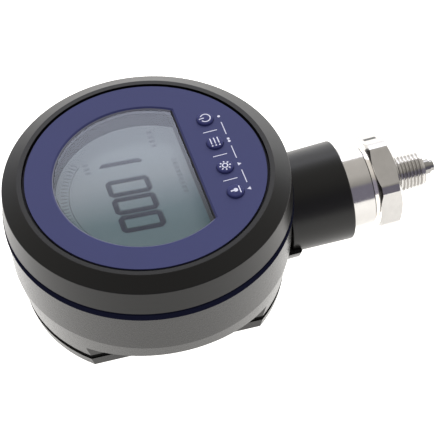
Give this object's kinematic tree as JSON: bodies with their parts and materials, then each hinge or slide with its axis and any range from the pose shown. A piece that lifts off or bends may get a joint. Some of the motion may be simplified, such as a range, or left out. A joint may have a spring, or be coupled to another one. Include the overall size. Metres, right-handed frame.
{
  "type": "digital pressure gauge",
  "caption": "Round digital pressure gauge with blue keypad face, flat-sided display window and side steel stem with hexagon and threaded end; the case swivels on the stem.",
  "frame": {"origin": "where the dial axis meets the flat back of the rear cover", "axes": "+Z out of the dial along its axis, -Y along the pressure connection, +X to the reader's right"},
  "size_m": [0.1017, 0.1576, 0.0541],
  "materials": {
    "case_paint": "fine textured dark grey coat",
    "panel_blue": "moulded blue",
    "foil_blue": "printed satin blue",
    "key_blue": "embossed satin blue",
    "window_clear": "clear polished",
    "frame_grey": "light grey moulded",
    "display_grey": "grey display with dark segments",
    "light_guide": "milky white",
    "board_green": "solder mask",
    "component_black": "moulded black",
    "contact_metal": "plated",
    "screw_steel": "plated steel",
    "lead_cover": "matt black cover",
    "seal_blue": "matt blue",
    "rubber_black": "matt black",
    "cell_wrap": "plain wrapped cell",
    "neck_black": "satin black",
    "stem_steel": "turned stainless steel",
    "bearing_plastic": "white bearing plastic"
  },
  "bodies": {
    "case": {"front_bezel": "case_paint", "front_panel": "panel_blue", "keypad_foil": "foil_blue", "window_pane": "window_clear", "lcd_frame": "frame_grey", "lcd_glass": "display_grey", "backlight_panel": "light_guide", "contact_strip": "rubber_black", "main_board": "board_green", "board_screws": "screw_steel", "controller_chip": "component_black", "buffer_capacitors": "component_black", "key_board": "board_green", "key_board_screws": "screw_steel", "key_domes": "contact_metal", "key_board_header": "component_black", "lead_connector": "component_black", "sensor_lead": "lead_cover", "seal_ring": "seal_blue", "rear_case": "case_paint", "case_screws": "screw_steel", "battery_1": "cell_wrap", "battery_2": "cell_wrap", "battery_3": "cell_wrap", "battery_contacts": "contact_metal", "battery_springs": "contact_metal", "battery_pins": "contact_metal", "rear_cover": "case_paint", "cover_gasket": "rubber_black", "cover_screws": "screw_steel", "neck_sleeve": "neck_black"},
    "stem": {"process_stem": "stem_steel", "stem_oring": "rubber_black", "thrust_washer": "bearing_plastic", "retaining_ring": "screw_steel", "stop_pin": "screw_steel", "sensor_capsule": "stem_steel", "sensor_seal": "rubber_black", "sensor_nut": "screw_steel", "sensor_board": "board_green", "sensor_pins": "contact_metal"},
    "power_key": {"power_key": "key_blue"},
    "menu_key": {"menu_key": "key_blue"},
    "settings_key": {"settings_key": "key_blue"},
    "light_key": {"light_key": "key_blue"}
  },
  "joints": [
    {"name": "stem_swivel", "type": "hinge", "parent": "case", "child": "stem", "pos_m": [0, -0.0608, 0.0186], "axis": [0, -1, 0], "range_deg": [-165, 165]},
    {"name": "power_key_press", "type": "slide", "parent": "case", "child": "power_key", "axis": [0, 0, -1], "range_m": [0, 0.0004], "stiffness_N_per_m": 1000},
    {"name": "menu_key_press", "type": "slide", "parent": "case", "child": "menu_key", "axis": [0, 0, -1], "range_m": [0, 0.0004], "stiffness_N_per_m": 1000},
    {"name": "settings_key_press", "type": "slide", "parent": "case", "child": "settings_key", "axis": [0, 0, -1], "range_m": [0, 0.0004], "stiffness_N_per_m": 1000},
    {"name": "light_key_press", "type": "slide", "parent": "case", "child": "light_key", "axis": [0, 0, -1], "range_m": [0, 0.0004], "stiffness_N_per_m": 1000}
  ]
}
